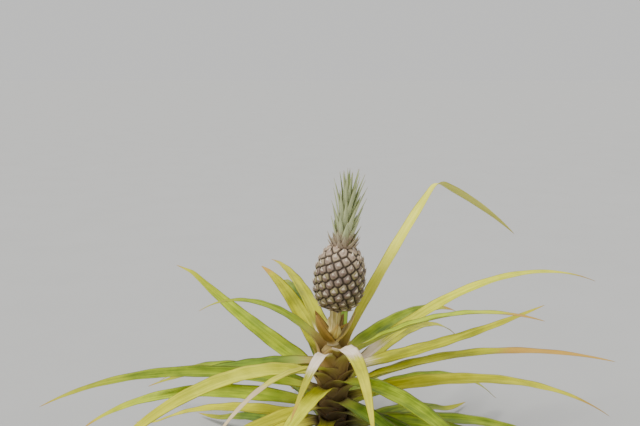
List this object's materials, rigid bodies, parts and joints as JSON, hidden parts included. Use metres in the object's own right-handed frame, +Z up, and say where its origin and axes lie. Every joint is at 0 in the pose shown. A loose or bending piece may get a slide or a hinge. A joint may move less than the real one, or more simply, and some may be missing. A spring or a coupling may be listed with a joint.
{
  "type": "pineapple plant",
  "caption": "Fruiting pineapple plant rooted in the ground: rosette of long arching leaves round a short stem, with a stalked fruit under its leafy crown.",
  "frame": {"origin": "centre of the flat cut under the stem, at ground level", "axes": "+Z up; -Y is the plant's front, which the picture shows; +X is on the right as seen from the front"},
  "size_m": [1.3529, 1.3124, 0.7866],
  "materials": {
    "stem": "rough, covered with old leaf bases",
    "green_leaf": "waxy yellow-green leaf, satin",
    "dry_leaf": "dry brown leaf, matt",
    "stalk": "fleshy stalk with drying yellow-tan bracts, satin",
    "fruit": "unripe purple-grey rind with pale-tipped eyes, satin",
    "crown": "blue-grey green leaves with a waxy bloom, matt"
  },
  "bodies": {
    "root": {"stem": "stem", "dry_leaf_01": "dry_leaf", "dry_leaf_02": "dry_leaf", "dry_leaf_03": "dry_leaf", "dry_leaf_04": "dry_leaf", "dry_leaf_05": "dry_leaf", "dry_leaf_06": "dry_leaf", "dry_leaf_07": "dry_leaf", "leaf_08": "green_leaf", "leaf_09": "green_leaf", "leaf_10": "green_leaf", "leaf_11": "green_leaf", "leaf_12": "green_leaf", "leaf_13": "green_leaf", "leaf_14": "green_leaf", "leaf_15": "green_leaf", "leaf_16": "green_leaf", "leaf_17": "green_leaf", "leaf_18": "green_leaf", "leaf_19": "green_leaf", "leaf_20": "green_leaf", "leaf_21": "green_leaf", "leaf_22": "green_leaf", "leaf_23": "green_leaf", "leaf_24": "green_leaf", "leaf_25": "green_leaf", "leaf_26": "green_leaf", "leaf_27": "green_leaf", "leaf_28": "green_leaf", "leaf_29": "green_leaf", "leaf_30": "green_leaf", "leaf_31": "green_leaf", "leaf_32": "green_leaf", "leaf_33": "green_leaf", "leaf_34": "green_leaf", "leaf_35": "green_leaf", "leaf_36": "green_leaf", "leaf_37": "green_leaf", "leaf_38": "green_leaf", "leaf_39": "green_leaf", "leaf_40": "green_leaf", "leaf_41": "green_leaf", "leaf_42": "green_leaf", "leaf_43": "green_leaf", "leaf_44": "green_leaf", "leaf_45": "green_leaf", "leaf_46": "green_leaf", "leaf_47": "green_leaf", "leaf_48": "green_leaf", "leaf_49": "green_leaf", "leaf_50": "green_leaf", "leaf_51": "green_leaf", "leaf_52": "green_leaf", "leaf_53": "green_leaf", "leaf_51_end": "green_leaf", "stalk": "stalk", "fruit": "fruit", "crown": "crown"}
  },
  "joints": []
}
